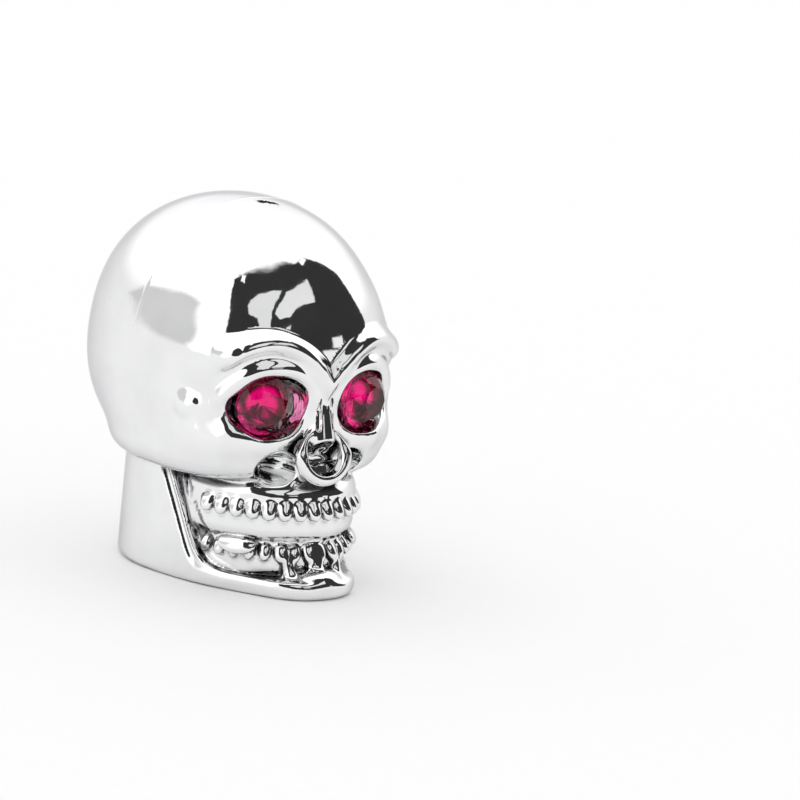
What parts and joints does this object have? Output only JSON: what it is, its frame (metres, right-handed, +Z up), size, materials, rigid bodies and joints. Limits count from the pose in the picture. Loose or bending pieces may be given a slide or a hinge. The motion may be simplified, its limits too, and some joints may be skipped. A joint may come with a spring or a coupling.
{
  "type": "tyre valve cap",
  "caption": "Skull shaped tyre valve cap with bright plating, red stones for eyes and a threaded metal insert in its flat base.",
  "frame": {"origin": "on the axis of the threaded bore, in the plane of the flat base", "axes": "+Z up along the bore axis, out through the crown; the face looks to -Y; +X is the skull's own left"},
  "size_m": [0.0178, 0.0221, 0.024],
  "materials": {
    "bright_plating": "mirror bright plating over plastic",
    "insert_metal": "turned, nickel plated",
    "seal_rubber": "matt",
    "red_stone": "cut and polished"
  },
  "bodies": {
    "root": {"skull_body": "bright_plating", "threaded_insert": "insert_metal", "seal_washer": "seal_rubber", "crystal_left": "red_stone", "crystal_right": "red_stone"}
  },
  "joints": []
}
